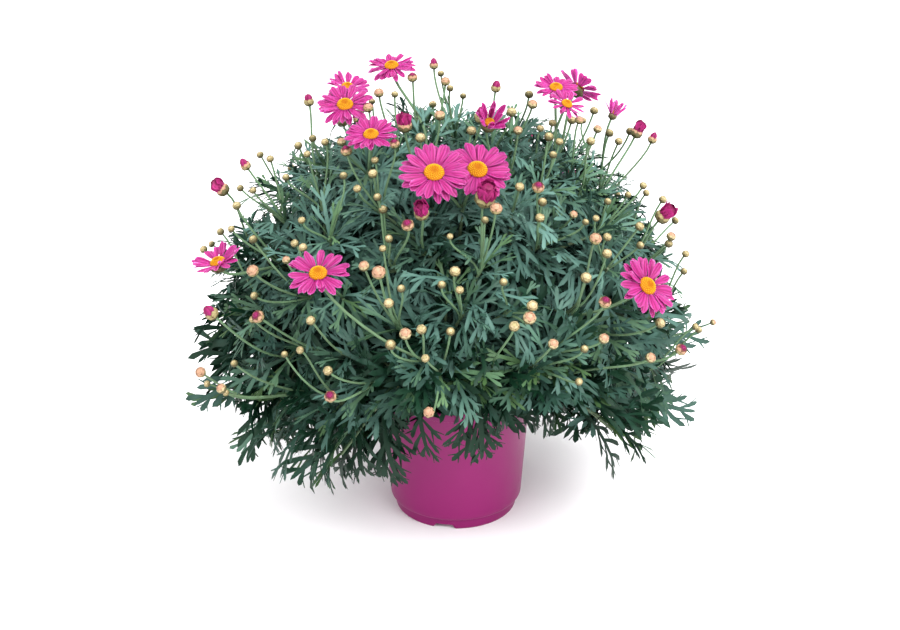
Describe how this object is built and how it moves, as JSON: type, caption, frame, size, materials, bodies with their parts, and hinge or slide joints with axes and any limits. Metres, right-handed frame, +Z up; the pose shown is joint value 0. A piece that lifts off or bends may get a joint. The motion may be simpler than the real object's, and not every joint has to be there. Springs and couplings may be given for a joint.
{
  "type": "potted marguerite daisy",
  "caption": "Round bushy marguerite daisy with cut blue-green leaves, pink daisy flowers and buds, in a round plastic pot.",
  "frame": {"origin": "under the middle of the pot, on the surface that it stands on", "axes": "+Z up out of the pot; -Y is the side that the picture shows; +X to its right"},
  "size_m": [0.463, 0.4841, 0.3932],
  "materials": {
    "pot": "satin",
    "compost": "matte",
    "foliage": "matte",
    "petals": "matte",
    "discs": "matte",
    "bud_petals": "matte"
  },
  "bodies": {
    "root": {"pot": "pot", "compost": "compost", "leafy_stem_01": "foliage", "leafy_stem_02": "foliage", "leafy_stem_03": "foliage", "leafy_stem_04": "foliage", "leafy_stem_05": "foliage", "leafy_stem_06": "foliage", "leafy_stem_07": "foliage", "leafy_stem_08": "foliage", "leafy_stem_09": "foliage", "leafy_stem_10": "foliage", "leafy_stem_11": "foliage", "leafy_stem_12": "foliage", "bloom_01_rays": "petals", "bloom_02_rays": "petals", "bloom_03_rays": "petals", "bloom_04_rays": "petals", "bloom_05_rays": "petals", "bloom_06_rays": "petals", "bloom_07_rays": "petals", "bloom_08_rays": "petals", "bloom_09_rays": "petals", "bloom_10_rays": "petals", "bloom_11_rays": "petals", "bloom_12_rays": "petals", "bloom_13_rays": "petals", "bloom_14_rays": "petals", "bloom_15_rays": "petals", "bloom_16_rays": "petals", "bloom_01_disc": "discs", "bloom_02_disc": "discs", "bloom_03_disc": "discs", "bloom_04_disc": "discs", "bloom_05_disc": "discs", "bloom_06_disc": "discs", "bloom_07_disc": "discs", "bloom_08_disc": "discs", "bloom_09_disc": "discs", "bloom_10_disc": "discs", "bloom_11_disc": "discs", "bloom_12_disc": "discs", "bloom_13_disc": "discs", "bloom_14_disc": "discs", "bloom_15_disc": "discs", "bloom_16_disc": "discs", "pink_head_01": "bud_petals", "pink_head_02": "bud_petals", "pink_head_03": "bud_petals", "pink_head_04": "bud_petals", "pink_head_05": "bud_petals", "pink_head_06": "bud_petals", "pink_head_07": "bud_petals", "pink_head_08": "bud_petals", "pink_head_09": "bud_petals"}
  },
  "joints": []
}
